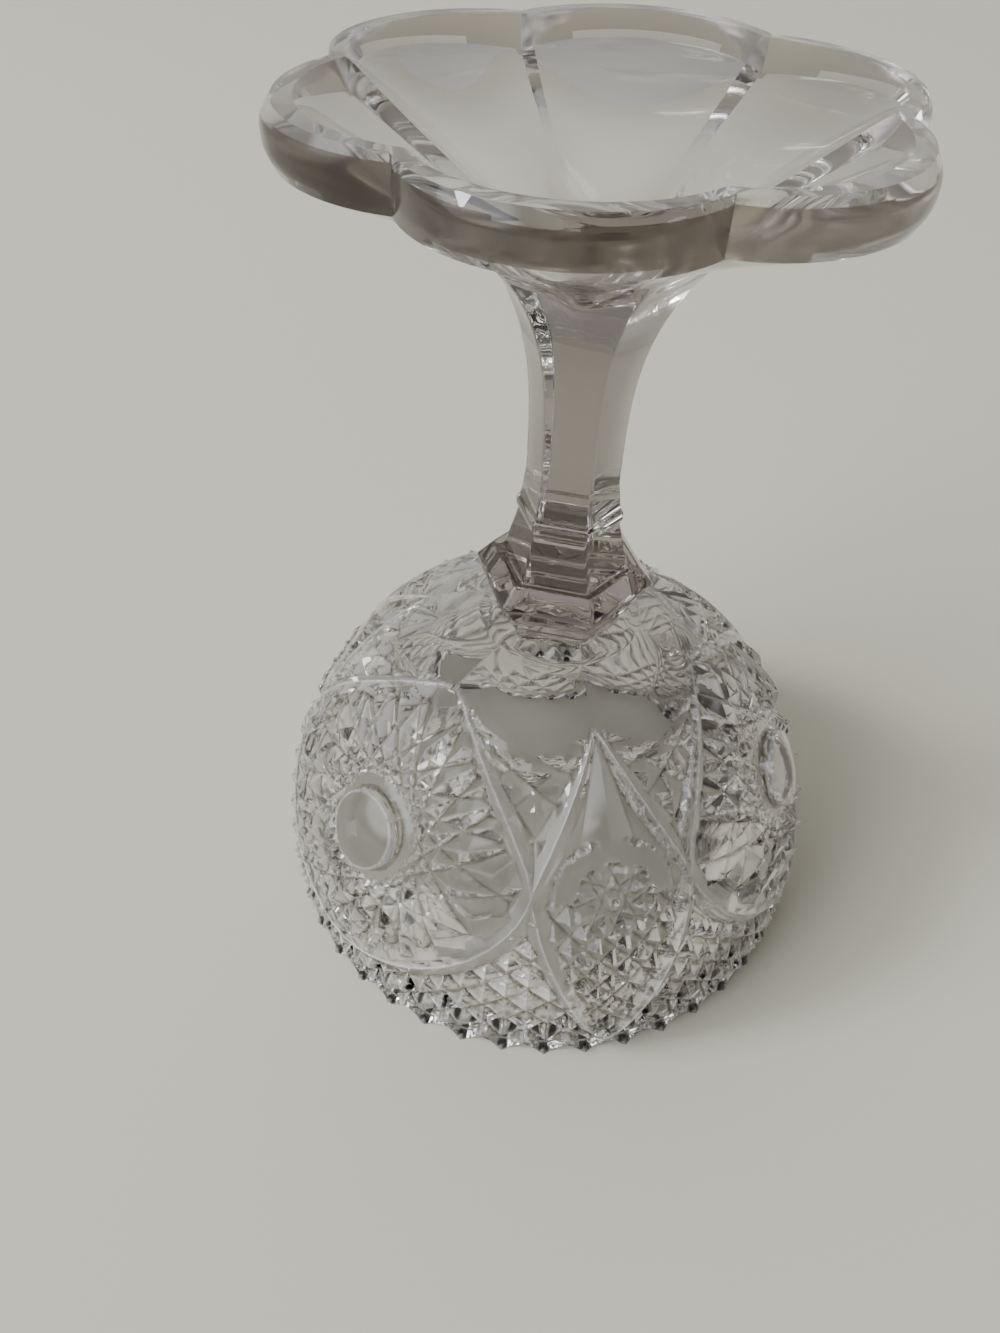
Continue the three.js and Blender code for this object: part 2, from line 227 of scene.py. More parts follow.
# Camera
CAMERA_PLACE = (-64.0, -157.3, 225.6)
CAMERA_HEADING = 17.94
CAMERA_PITCH = 44.51
CAMERA_ROLL = -2.397
CAMERA_CLIP = 0.01
FOCAL_PIXELS = 1039.22
FRAME_HEIGHT_PIXELS = 1333
SENSOR_MM = 36

# Floor, and the room around the compote
FLOOR_HALF_WIDTH = 4
FLOOR_COLOUR = (0.82, 0.81, 0.685, 1)
FLOOR_ROUGHNESS = 0.9
ROOM_BACK = (-0.42, 0.76, 0.5)
ROOM_WINDOW = (-0.86, -0.12, 0.5)
DARK_ROOM = (0.08, 0.07, 0.064, 1)
PALE_ROOM = (0.66, 0.65, 0.62, 1)
WINDOW_LIGHT = (4.5, 4.6, 4.7, 1)
BACKDROP = (0.38, 0.375, 0.35, 1)


def polar(azimuth, radius, height):
    """Points at azimuths, radii and heights, as rows of x, y, z."""
    angle = np.radians(azimuth)
    columns = np.broadcast_arrays(radius * np.sin(angle), -radius * np.cos(angle), height)
    return np.stack(columns, axis=-1)


def azimuth_of(points):
    """Azimuths of points that are rows of x, y, z."""
    return np.degrees(np.arctan2(points[:, 0], -points[:, 1]))


def smoothstep(value, low, high):
    """Rises smoothly from 0 at low to 1 at high."""
    share = np.clip((value - low) / (high - low), 0, 1)
    return share * share * (3 - 2 * share)


# The wall in section


def dome_radius(height, widest, end, top):
    """Radius of a dome from its widest level to its end at the top."""
    rise = np.clip((height - WIDEST_HEIGHT) / (top - WIDEST_HEIGHT), 0, 1)
    return end + (widest - end) * (1 - rise ** DOME_POWER) ** (1 / DOME_ROOT)


def outer_radius(height):
    """Radius of the bowl outside, before it is carved."""
    wall = np.interp(height, (0, WIDEST_HEIGHT), (RIM_RADIUS, BOWL_RADIUS))
    dome = dome_radius(height, BOWL_RADIUS, SEAT_RADIUS, BOWL_TOP)
    return np.where(height < WIDEST_HEIGHT, wall, dome)


# The outer wall as a table by the distance up it from the rim
SECTION_HEIGHTS = BOWL_TOP * (1 - (1 - np.linspace(0, 1, 4001)) ** 2)
SECTION_RADII = outer_radius(SECTION_HEIGHTS)
SECTION_STEPS = np.hypot(np.diff(SECTION_HEIGHTS), np.diff(SECTION_RADII))
SECTION_DISTANCES = np.concatenate(([0], np.cumsum(SECTION_STEPS)))
WALL_LENGTH = SECTION_DISTANCES[-1]


def wall_radius(distance):
    return np.interp(distance, SECTION_DISTANCES, SECTION_RADII)


def wall_height(distance):
    return np.interp(distance, SECTION_DISTANCES, SECTION_HEIGHTS)


def per_degree(distance):
    """Millimetres along the wall for a degree of azimuth."""
    return np.radians(1) * wall_radius(distance)


def on_wall(azimuth, distance, depth):
    """Points at a depth along the normal of the outer wall."""
    step = 0.5
    low = np.clip(distance - step, 0, WALL_LENGTH)
    high = np.clip(distance + step, 0, WALL_LENGTH)
    lean = wall_radius(high) - wall_radius(low)
    rise = wall_height(high) - wall_height(low)
    length = np.hypot(lean, rise)
    radius = wall_radius(distance) + depth * rise / length
    height = wall_height(distance) - depth * lean / length
    return polar(azimuth, radius, height)


# The carving


def fold(azimuth):
    """Degrees from the nearest diamond's middle line; the nearest medallion's is at HALF_MOTIF."""
    period = 2 * HALF_MOTIF
    return np.abs((azimuth - PATTERN_TURN + HALF_MOTIF) % period - HALF_MOTIF)


def oval(across, up, half_width, top, bottom, power):
    """1 on a pointed oval, less inside it and more outside."""
    height = np.where(up > 0, top, bottom)
    total = (np.abs(across) / half_width) ** power + (np.abs(up) / height) ** power
    return total ** (1 / power)


def medallion_oval(angle, distance):
    return oval(HALF_MOTIF - angle, distance - MOTIF_LEVEL, MEDALLION_ANGLE,
                MEDALLION_HEIGHT, MEDALLION_HEIGHT, MEDALLION_POWER)


def diamond_oval(angle, distance):
    return oval(angle, distance - MOTIF_LEVEL, DIAMOND_ANGLE,
                DIAMOND_TOP, DIAMOND_BOTTOM, DIAMOND_POWER)


def gap_to(shape, angle, distance):
    """Distance in millimetres to an oval, less than 0 inside it."""
    step = 0.05
    least_slope = 1e-3
    turned = shape(angle + step, distance) - shape(angle - step, distance)
    raised = shape(angle, distance + step) - shape(angle, distance - step)
    slope = np.hypot(turned / (2 * step * per_degree(distance)), raised / (2 * step))
    return (shape(angle, distance) - 1) / np.maximum(slope, least_slope)


def bar(gap, half_width, tilt):
    """A raised bar along gap = 0: a low ridge of two facets between steep flanks."""
    side = np.abs(gap)
    return -tilt * np.minimum(side, half_width) - BAR_FLANK * np.maximum(side - half_width, 0)


def medallion_half_width(distance):
    return np.interp(distance, MEDALLION_BAR_LEVELS, MEDALLION_BAR_HALF_WIDTHS)


def diamond_half_width(distance):
    return np.interp(distance, DIAMOND_BAR_LEVELS, DIAMOND_BAR_HALF_WIDTHS)


def star(across, up, chords, hub, depth, slope, ceiling):
    """Facets between V grooves along chords that all touch a round hub."""
    nearest = np.full(np.shape(across), np.inf)
    for chord in range(chords):
        turn = 2 * math.pi * (chord + 0.5) / chords
        nearest = np.minimum(nearest, np.abs(across * math.cos(turn) + up * math.sin(turn) - hub))
    return np.minimum(slope * nearest - depth, ceiling)


def lattice(across, up, width, height, depth, slope):
    """Diamond points between two families of V grooves."""
    spacing = 1 / math.hypot(1 / width, 1 / height)
    rising = np.abs((across / width + up / height) % 1 - 0.5)
    falling = np.abs((across / width - up / height) % 1 - 0.5)
    return slope * spacing * np.minimum(rising, falling) - depth


def fan(across, down, first, last, facets, growth, deepest):
    """Prisms that spread from a point between two directions, in degrees from straight down."""
    least_down = 1e-6
    turn = np.degrees(np.arctan2(across, np.maximum(down, least_down)))
    share = (turn - first) / (last - first) * facets
    valley = np.minimum(growth * np.hypot(across, down), deepest)
    return -valley * 2 * np.abs(share % 1 - 0.5)


def medallion_field(angle, distance):
    """A button in a sunk ring, with long facets round it."""
    across = (HALF_MOTIF - angle) * per_degree(distance)
    up = distance - BUTTON_LEVEL
    reach = np.hypot(across, up)
    moat_radius = BUTTON_RADIUS + MOAT_WIDTH
    rays = star(across, up, chords=18, hub=moat_radius, depth=2.7, slope=0.9, ceiling=0.6)
    past_top = np.maximum(reach - BUTTON_RADIUS + BUTTON_BEVEL, 0)
    button = BUTTON_RISE - BUTTON_CURVE * reach ** 2 - BUTTON_FLANK * past_top
    return np.where(reach < moat_radius, np.maximum(button, -MOAT_DEPTH), rays)


def diamond_field(angle, distance):
    """A small star with a crescent and a broad prism over it, and small diamond points under it."""
    across = angle * per_degree(distance)
    up = distance - STAR_LEVEL
    reach = np.hypot(across, up)
    small_star = star(across, up, chords=8, hub=2.4, depth=2.1, slope=0.8, ceiling=-0.3)
    small_star = np.minimum(small_star, PIT_SLOPE * reach - PIT_DEPTH)
    points = lattice(across, up, width=6.4, height=7.6, depth=2.2, slope=0.8)
    prism = fan(across, DIAMOND_POINT - distance, first=-14, last=14, facets=1, growth=0.13, deepest=2.4)
    crescent = -CRESCENT_DEPTH - CRESCENT_FALL * np.maximum(reach - STAR_REACH, 0)
    over_star = np.where(reach < CRESCENT_REACH, crescent, prism - PRISM_DROP)
    return np.where(reach < STAR_REACH, small_star, np.where(up > 0, over_star, points))


def shoulder_fan(across, down, first, last):
    return fan(across, down, first, last, FAN_FACETS, FAN_GROWTH, FAN_DEPTH)


def shoulder_field(angle, distance):
    """Prisms that fan down from the motifs' top points towards the crossings."""
    from_diamond = angle * per_degree(distance)
    from_medallion = (HALF_MOTIF - angle) * per_degree(distance)
    diamond_fan = shoulder_fan(from_diamond, DIAMOND_POINT - distance, first=34, last=64)
    medallion_fan = shoulder_fan(from_medallion, MEDALLION_POINT - distance, first=56, last=74)
    return np.minimum(diamond_fan, medallion_fan)


def rim_field(azimuth, distance):
    """Diamond points over the rim, in step with the teeth."""
    pitch = 360 / TOOTH_COUNT
    width = 2 * math.pi * RIM_RADIUS / TOOTH_COUNT
    points = lattice(azimuth / pitch * width, distance, width, POINT_ROW, POINT_DEPTH, POINT_SLOPE)
    return np.maximum(points, -RIM_GROOVE - RIM_GROOVE_GROWTH * distance)


def meeting_line(angle):
    """Level of the line that runs along the motifs' top points, above which the wall is plain."""
    places = (0, LINE_LOW_ANGLE, HALF_MOTIF)
    levels = (DIAMOND_POINT, LINE_LOW_LEVEL, MEDALLION_POINT)
    return np.interp(angle, places, levels)


def plain_field(angle, distance):
    """Shallow petals between thin ridges that run from the motifs' points up to the neck."""
    petal = np.abs((angle / HALF_MOTIF + 0.5) % 1 - 0.5) * 2
    fade = smoothstep(distance, WALL_LENGTH, WALL_LENGTH - PETAL_FADE)
    return -PETAL_DEPTH * (1 - (1 - petal) ** 2) * fade


def relief(azimuth, distance):
    """Depth of the carving at places on the wall; 0 is the surface it is cut from."""
    angle = fold(azimuth)
    to_medallion = gap_to(medallion_oval, angle, distance)
    to_diamond = gap_to(diamond_oval, angle, distance)
    medallion_half = medallion_half_width(distance)
    diamond_half = diamond_half_width(distance)
    beside_bars = np.minimum(np.abs(to_medallion) - medallion_half, np.abs(to_diamond) - diamond_half)
    ceiling = CREST_RISE * beside_bars - CREST_DROP
    over_line = distance - meeting_line(angle)
    shoulder = shoulder_field(angle, distance) * np.clip(-over_line / LINE_BEVEL, 0, 1)
    plain = plain_field(angle, distance) * np.clip(over_line / PETAL_BEVEL, 0, 1)
    above = np.where(over_line > 0, plain, np.minimum(shoulder, ceiling))
    ground = np.where(distance > MOTIF_LEVEL, above, rim_field(azimuth, distance))
    diamond = np.minimum(diamond_field(angle, distance), ceiling)
    ground = np.where(to_diamond < 0, diamond, ground)
    medallion = np.minimum(medallion_field(angle, distance), ceiling)
    ground = np.where(to_medallion < 0, medallion, ground)
    medallion_bar = bar(to_medallion, medallion_half, MEDALLION_BAR_TILT)
    diamond_bar = bar(to_diamond, diamond_half, DIAMOND_BAR_TILT)
    carved = np.maximum(ground, np.maximum(medallion_bar, diamond_bar))
    return np.where(distance > BARS_END, ground, carved)


def crease(azimuth, distance, depth):
    """Millimetres by which places lie under the mean of the relief round them."""
    turn = CREASE_REACH / per_degree(distance)
    beside = relief(azimuth + turn, distance) + relief(azimuth - turn, distance)
    along = relief(azimuth, distance + CREASE_REACH) + relief(azimuth, distance - CREASE_REACH)
    return (beside + along) / 4 - depth


# Meshes


def sharp_grid(field, azimuths, distances):
    """One point for each cell of a grid on the wall, moved onto the field's creases.

    In each cell, nine samples give planes, and the point is where those planes meet best."""
    step = 0.01
    inset = 0.98
    pull = 0.03
    shares = (-0.5, 0, 0.5)
    column = azimuths[1] - azimuths[0]
    middle = (distances[1:] + distances[:-1]) / 2
    centre_azimuth, centre_distance = np.meshgrid(azimuths + column / 2, middle)
    height = np.broadcast_to(np.diff(distances)[:, None], centre_azimuth.shape)
    width = np.radians(column) * wall_radius(centre_distance)
    turn = step / width * column
    samples = []
    for across in shares:
        for up in shares:
            azimuth = centre_azimuth + across * column * inset
            distance = centre_distance + up * height * inset
            value = field(azimuth, distance)
            slope_x = (field(azimuth + turn, distance) - field(azimuth - turn, distance)) / (2 * step)
            slope_y = (field(azimuth, distance + step) - field(azimuth, distance - step)) / (2 * step)
            base = value - slope_x * across * width - slope_y * up * height
            samples.append((slope_x, slope_y, base, value))
    slopes_x, slopes_y, bases, values = (np.stack(kind) for kind in zip(*samples))
    mean_x, mean_y, mean_base = slopes_x.mean(0), slopes_y.mean(0), bases.mean(0)
    off_x, off_y, off_base = slopes_x - mean_x, slopes_y - mean_y, bases - mean_base
    xx = (off_x * off_x).sum(0) + pull
    yy = (off_y * off_y).sum(0) + pull
    xy = (off_x * off_y).sum(0)
    bx = -(off_x * off_base).sum(0)
    by = -(off_y * off_base).sum(0)
    determinant = xx * yy - xy * xy
    across = np.clip((bx * yy - by * xy) / determinant, -width / 2, width / 2)
    up = np.clip((by * xx - bx * xy) / determinant, -height / 2, height / 2)
    depth = mean_x * across + mean_y * up + mean_base
    depth = np.clip(depth, values.min(0) - OVERSHOOT, values.max(0) + OVERSHOOT)
    return centre_azimuth + across / width * column, centre_distance + up, depth


def skin(rings):
    """Vertices, faces and the number of faces in each band of a surface over rings.

    The rings have the same number of points, or one point at an end."""
    vertices = np.concatenate([np.atleast_2d(ring) for ring in rings])
    starts = np.cumsum([0] + [len(np.atleast_2d(ring)) for ring in rings])
    faces = []
    spans = []
    for row in range(len(rings) - 1):
        low, high = starts[row], starts[row + 1]
        low_count, high_count = high - low, starts[row + 2] - high
        index = np.arange(max(low_count, high_count))
        after = (index + 1) % len(index)
        if low_count == 1:
            band = [(low, high + b, high + a) for a, b in zip(index, after)]
        elif high_count == 1:
            band = [(low + a, low + b, high) for a, b in zip(index, after)]
        else:
            band = [(low + a, low + b, high + b, high + a) for a, b in zip(index, after)]
        faces.extend(band)
        spans.append(len(band))
    return vertices, faces, spans


def glass_piece(name, rings, joined_first=False, joined_last=False, sharp_angle=18,
                other=None, where=None):
    """A closed glass body over rings. A joined end face is fused to the next piece.

    other names a second glass, and where tells from the faces' middles which of them have it."""
    vertices, faces, spans = skin(rings)
    points = [tuple(vertex) for vertex in vertices * MM]
    corners = [tuple(map(int, face)) for face in faces]
    mesh = bpy.data.meshes.new(name)
    mesh.from_pydata(points, [], corners)
    for kind in ("glass", "fused", other or "glass"):
        mesh.materials.append(materials[kind])
    slots = np.zeros(len(faces), np.int32)
    if where:
        middles = np.array([vertices[list(face)].mean(0) for face in faces])
        slots[where(middles)] = 2
    if joined_first:
        slots[:spans[0]] = 1
    if joined_last:
        slots[len(faces) - spans[-1]:] = 1
    mesh.polygons.foreach_set("material_index", slots)
    mesh.shade_smooth()
    mesh.set_sharp_from_angle(angle=math.radians(sharp_angle))
    mesh.update()
    obj = bpy.data.objects.new(name, mesh)
    bpy.context.scene.collection.objects.link(obj)
    node = name.removesuffix("_glass")
    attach(obj, "root")
    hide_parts(node)
    return obj


def soften(profile, reach):
    """Rounds the corners of an open profile by curves that start a reach away from each corner."""
    most = 0.45
    curve = np.linspace(0, 1, 5)
    corners = [np.array(point, float) for point in profile]
    points = [corners[0]]
    for before, corner, after in zip(corners, corners[1:], corners[2:]):
        back, ahead = before - corner, after - corner
        start = corner + back * min(most, reach / np.linalg.norm(back))
        end = corner + ahead * min(most, reach / np.linalg.norm(ahead))
        for share in curve:
            bent = 2 * share * (1 - share) * corner
            points.append((1 - share) ** 2 * start + bent + share ** 2 * end)
    points.append(corners[-1])
    return points


def hexagon(azimuth, corner_radius):
    """Radius of a hexagon with slightly rounded corners."""
    total = sum(np.maximum(np.cos(np.radians(azimuth - side)), 0) ** CORNER_POWER
                for side in range(30, 360, 60))
    return corner_radius * math.cos(math.radians(30)) / total ** (1 / CORNER_POWER)


# Bowl


def tooth_edge(azimuth):
    """How far the rim's edge is cut back from the teeth's points."""
    from_tip = np.abs((azimuth * TOOTH_COUNT / 360 + 0.5) % 1 - 0.5) * 2
    return TOOTH_DEPTH * np.clip((from_tip - TOOTH_FLAT) / (1 - TOOTH_FLAT), 0, 1) ** TOOTH_POWER


def on_bars(middles):
    """Which places on the bowl lie on the raised bars."""
    radius, height = np.hypot(middles[:, 0], middles[:, 1]), middles[:, 2]
    distance = np.interp(height, SECTION_HEIGHTS, SECTION_DISTANCES)
    outside = radius > wall_radius(distance) - WEAR_DEPTH
    angle = fold(azimuth_of(middles))
    to_medallion = gap_to(medallion_oval, angle, distance)
    to_diamond = gap_to(diamond_oval, angle, distance)
    bars = np.abs(to_medallion) < medallion_half_width(distance) + WEAR_MARGIN
    bars |= np.abs(to_diamond) < diamond_half_width(distance) + WEAR_MARGIN
    return outside & bars & (distance < WEAR_END)


def inside_rings(azimuths, edge, crown):
    """Rings of the bowl's inside, from the rim up to the crown."""
    rings = []
    for share in np.linspace(0, 1, INNER_ROWS):
        height = crown * math.sin(math.pi / 2 * share)
        if height < WIDEST_HEIGHT:
            radius = np.interp(height, (0, WIDEST_HEIGHT), (RIM_RADIUS - WALL, BOWL_RADIUS - WALL))
        else:
            radius = dome_radius(height, BOWL_RADIUS - WALL, CROWN_RADIUS, crown)
        lifted = height + (edge + INNER_RIM_LIFT) * max(0, 1 - height / TOOTH_FADE)
        rings.append(polar(azimuths, radius, lifted))
    return rings


def make_bowl():
    azimuths = np.arange(COLUMNS) * 360 / COLUMNS
    carved = np.linspace(0, CARVED_HEIGHT, CARVED_ROWS + 1)
    plain = np.linspace(CARVED_HEIGHT, WALL_LENGTH - PLAIN_END_GAP, PLAIN_ROWS + 1)[1:]
    azimuth, distance, depth = sharp_grid(relief, azimuths, np.concatenate((carved, plain)))
    fade = np.clip(1 - distance / TOOTH_FADE, 0, 1)
    wall = on_wall(azimuth, distance + tooth_edge(azimuth) * fade, depth)

    crown = BOWL_TOP - BASE_THICKNESS
    middle = azimuths + 360 / COLUMNS / 2
    edge = tooth_edge(middle)
    rim_level = 0.1
    rim_depth = relief(middle, np.full(COLUMNS, rim_level))
    below_wall = [
        polar(0, 0, crown),
        *reversed(inside_rings(middle, edge, crown)),
        polar(middle, RIM_RADIUS - WALL + RIM_BEVEL_INSIDE, edge),
        polar(middle, RIM_RADIUS - RIM_BEVEL_OUTSIDE + rim_depth, edge),
    ]
    seat = [
        polar(middle, SEAT_RADIUS - SEAT_STEP, BOWL_TOP),
        polar(middle, hexagon(middle, LOW_STEP[0]), BOWL_TOP),
        polar(0, 0, BOWL_TOP),
    ]
    rings = [*below_wall, *wall, *seat]
    bowl = glass_piece("bowl_glass", rings, joined_last=True, other="worn", where=on_bars)

    values = np.zeros(len(bowl.data.vertices))
    first = 1 + (len(below_wall) - 1) * COLUMNS
    # Painted shade: the crease values darken the grooves, more strongly towards the rim.
    towards_rim = np.interp(distance, (0, RIM_SHADE_LEVEL), (RIM_SHADE_GAIN, 1))
    values[first:first + depth.size] = (crease(azimuth, distance, depth) * towards_rim).ravel()
    creases = bowl.data.attributes.new("crease", "FLOAT", "POINT")
    creases.data.foreach_set("value", values)


# Neck, collar, stem and foot

# Degrees from a corner at which a side has points, close together near the corner
FROM_CORNER = (0, 0.5, 1, 1.6, 2.4, 3.4, 4.8, 6.6, 9, 12, 15, 18, 21, 24, 27)


def side_azimuths():
    """Azimuths all round, close together at the corners."""
    half = np.array((*FROM_CORNER, 30))
    sector = np.concatenate((half, 60 - half[-2:0:-1]))
    return np.concatenate([sector + 60 * side for side in range(6)])


AZIMUTHS = side_azimuths()


def hexagon_rings(profile):
    return [polar(AZIMUTHS, hexagon(AZIMUTHS, radius), height) for radius, height in profile]


def everywhere(middles):
    return np.full(len(middles), True)


def thick_piece(name, profile):
    """A hexagonal piece of thick glass that is fused at both ends."""
    base, top = profile[0][1], profile[-1][1]
    rings = [polar(0, 0, base), *hexagon_rings(soften(profile, EDGE_ROUNDING)), polar(0, 0, top)]
    glass_piece(name, rings, joined_first=True, joined_last=True, other="deep", where=everywhere)


def make_neck():
    low = BOWL_TOP + LOW_STEP[1]
    middle = low + MIDDLE_STEP[1]
    thick_piece("neck_glass", [
        (LOW_STEP[0], BOWL_TOP),
        (LOW_STEP[0], low),
        (MIDDLE_STEP[0], low),
        (MIDDLE_STEP[0], middle),
        (HIGH_STEP_RADIUS, middle),
        (HIGH_STEP_RADIUS, COLLAR_BASE),
    ])


def make_collar():
    edge_top = COLLAR_BASE + COLLAR_EDGE
    bevel_top = edge_top + COLLAR_BEVEL_HEIGHT
    thick_piece("collar_glass", [
        (HIGH_STEP_RADIUS, COLLAR_BASE),
        (COLLAR_RADIUS, COLLAR_BASE),
        (COLLAR_RADIUS, edge_top),
        (COLLAR_BEVEL_RADIUS, bevel_top),
        (CONE_BASE_RADIUS, bevel_top - CONE_BASE_DROP),
        (CONE_TOP_RADIUS, STEM_BASE),
    ])


def flare_radius(height):
    """Corner radius from the stem's waist to the foot's notches, which is one curve."""
    rise = np.maximum(0, (height - STEM_BASE - WAIST_FOOT) / FLARE_LENGTH)
    return WAIST_RADIUS + (NOTCH_RADIUS - WAIST_RADIUS) * rise ** FLARE_POWER


def make_stem():
    bead_top = STEM_BASE + BEAD_HEIGHT
    profile = soften([
        (CONE_TOP_RADIUS, STEM_BASE),
        (BEAD_RADIUS, STEM_BASE + BEAD_STEP),
        (BEAD_RADIUS, bead_top),
        ((BEAD_RADIUS + WAIST_RADIUS) / 2, bead_top + BEAD_HEIGHT / 2),
        (WAIST_RADIUS, STEM_BASE + WAIST_FOOT),
    ], STEM_ROUNDING)
    heights = np.linspace(STEM_BASE + WAIST_FOOT, FOOT_BASE, STEM_ROWS)[1:]
    profile += [(flare_radius(height), height) for height in heights]
    rings = [polar(0, 0, STEM_BASE), *hexagon_rings(profile), polar(0, 0, FOOT_BASE)]
    glass_piece("stem_glass", rings, joined_first=True, joined_last=True)


def lobed_radius(azimuth, inset):
    """Radius of six lobes, each a circular arc from notch to notch. The inset draws lobes in only."""
    reach = LOBE_REACH - inset
    from_lobe = np.radians(azimuth % 60 - 30)
    half_side = NOTCH_RADIUS * math.cos(math.radians(30))
    centre = (reach ** 2 - NOTCH_RADIUS ** 2) / (2 * (reach - half_side))
    lobe = reach - centre
    return centre * np.cos(from_lobe) + np.sqrt(lobe ** 2 - (centre * np.sin(from_lobe)) ** 2)


def on_shaded_edge(middles):
    """Which places on the foot lie on its upright edge, which is given painted shade."""
    from_edge = lobed_radius(azimuth_of(middles), 0) - np.hypot(middles[:, 0], middles[:, 1])
    return (from_edge < EDGE_DEPTH) & (middles[:, 2] < FOOT_TOP - FOOT_BEVEL_HEIGHT / 2)


def flare_rings(flare_end):
    """Rings from the hexagonal stem to the lobes under the foot's edge."""
    straight = hexagon(AZIMUTHS, 1)
    lobed = lobed_radius(AZIMUTHS, FOOT_UNDER_INSET) / NOTCH_RADIUS
    rings = []
    for height in np.linspace(FOOT_BASE, flare_end, FOOT_ROWS):
        blend = smoothstep(height, flare_end - FLARE_LENGTH + LOBE_BLEND_START, flare_end)
        share = straight + (lobed - straight) * blend
        rings.append(polar(AZIMUTHS, flare_radius(height) * share, height))
    return rings


def hollow_rings():
    """Rings over the flat band and down the foot's conical hollow."""
    lip = lobed_radius(AZIMUTHS, FOOT_BEVEL_INSET)
    mouth = lobed_radius(AZIMUTHS, HOLLOW_LOBE_INSET) * (1 - HOLLOW_NOTCH_RIM / NOTCH_RADIUS)
    rings = [
        polar(AZIMUTHS, (lip + mouth) / 2, FOOT_TOP),
        polar(AZIMUTHS, mouth + HOLLOW_LIP_STEP, FOOT_TOP),
    ]
    for share in np.linspace(1, 0, HOLLOW_ROWS)[1:-1]:
        rise = HOLLOW_DEPTH * share ** HOLLOW_POWER
        rings.append(polar(AZIMUTHS, mouth * share, FOOT_TOP - HOLLOW_DEPTH + rise))
    rings.append(polar(0, 0, FOOT_TOP - HOLLOW_DEPTH))
    return rings


def make_foot():
    flare_end = STEM_BASE + WAIST_FOOT + FLARE_LENGTH
    outline = soften([
        (FOOT_UNDER_INSET, flare_end),
        (0, flare_end + FOOT_UNDER_HEIGHT),
        (0, FOOT_TOP - FOOT_BEVEL_HEIGHT),
        (FOOT_BEVEL_INSET, FOOT_TOP),
    ], FOOT_ROUNDING)
    edge = [polar(AZIMUTHS, lobed_radius(AZIMUTHS, inset), height) for inset, height in outline[1:]]
    rings = [polar(0, 0, FOOT_BASE), *flare_rings(flare_end), *edge, *hollow_rings()]
    # The upright edge takes the glass with painted shade.
    glass_piece("foot_glass", rings, joined_first=True, sharp_angle=24, other="edge", where=on_shaded_edge)


# Nodes that several materials share


def feed(tree, socket, value):
    """Links a socket to another one, or sets it to a number or a colour."""
    if isinstance(value, bpy.types.NodeSocket):
        tree.links.new(value, socket)
    else:
        socket.default_value = value


def maths(tree, operation, *values):
    """Result of an operation on numbers or sockets."""
    node = tree.nodes.new("ShaderNodeMath")
    node.operation = operation
    for socket, value in zip(node.inputs, values):
        feed(tree, socket, value)
    return node.outputs["Value"]


def mixed(tree, share, first, second, blend="MIX"):
    """Blend of two colours, each a colour or a socket."""
    node = tree.nodes.new("ShaderNodeMix")
    node.data_type = "RGBA"
    node.blend_type = blend
    for name, value in (("Factor", share), ("A", first), ("B", second)):
        feed(tree, node.inputs[name], value)
    return node.outputs["Result"]


def ranged(tree, value, source, target, interpolation="LINEAR"):
    """Carries a value from a source range to a target range and stops at its ends."""
    node = tree.nodes.new("ShaderNodeMapRange")
    node.interpolation_type = interpolation
    names = ("From Min", "From Max", "To Min", "To Max")
    for name, limit in zip(names, (*source, *target)):
        node.inputs[name].default_value = limit
    tree.links.new(value, node.inputs["Value"])
    return node.outputs["Result"]


def creased(tree, source, target):
    """A number that follows the creases of the carving: above 0 in grooves, below 0 on crests."""
    crease_value = tree.nodes.new("ShaderNodeAttribute")
    crease_value.attribute_name = "crease"
    return ranged(tree, crease_value.outputs["Fac"], source, target)


def varied(tree, scale, detail, source, target):
    """A number that varies over the surface with noise."""
    place = tree.nodes.new("ShaderNodeTexCoord")
    noise = tree.nodes.new("ShaderNodeTexNoise")
    noise.inputs["Scale"].default_value = scale
    noise.inputs["Detail"].default_value = detail
    tree.links.new(place.outputs["Object"], noise.inputs["Vector"])
    return ranged(tree, noise.outputs["Fac"], source, target)


def new_material(name):
    """A material without nodes but its output: the material, its tree and its surface socket."""
    material = bpy.data.materials.new(name)
    material.use_nodes = True
    tree = material.node_tree
    tree.nodes.clear()
    output = tree.nodes.new("ShaderNodeOutputMaterial")
    return material, tree, output.inputs["Surface"]


def glass_shader(tree, surface=WHITE):
    """Clear glass with painted shade darkening its grooves. Its brown deepens with the length that light
    crosses.
    """
    path = tree.nodes.new("ShaderNodeLightPath")
    side = tree.nodes.new("ShaderNodeNewGeometry")
    crossed = maths(tree, "MULTIPLY", path.outputs["Ray Length"], side.outputs["Backfacing"])
    thickness = maths(tree, "DIVIDE", crossed, TINT_LENGTH)
    squared = maths(tree, "MULTIPLY", thickness, thickness)
    left = maths(tree, "EXPONENT", maths(tree, "MULTIPLY", squared, -1))
    tint = mixed(tree, maths(tree, "SUBTRACT", 1, left), surface, DEEP_GLASS)
    deepened = mixed(tree, 1, tint, tint, blend="MULTIPLY")
    # Painted shade: the base colour is darker in the grooves.
    groove_shade = creased(tree, source=(0.04, 0.36), target=(0, 0.92))
    colour = mixed(tree, groove_shade, deepened, GROOVE_SHADE, blend="MULTIPLY")
    glass = tree.nodes.new("ShaderNodeBsdfPrincipled")
    glass.inputs["IOR"].default_value = GLASS_IOR
    glass.inputs["Transmission Weight"].default_value = 1
    tree.links.new(colour, glass.inputs["Base Color"])
    tree.links.new(tint, glass.inputs["Specular Tint"])
    return glass


# Materials


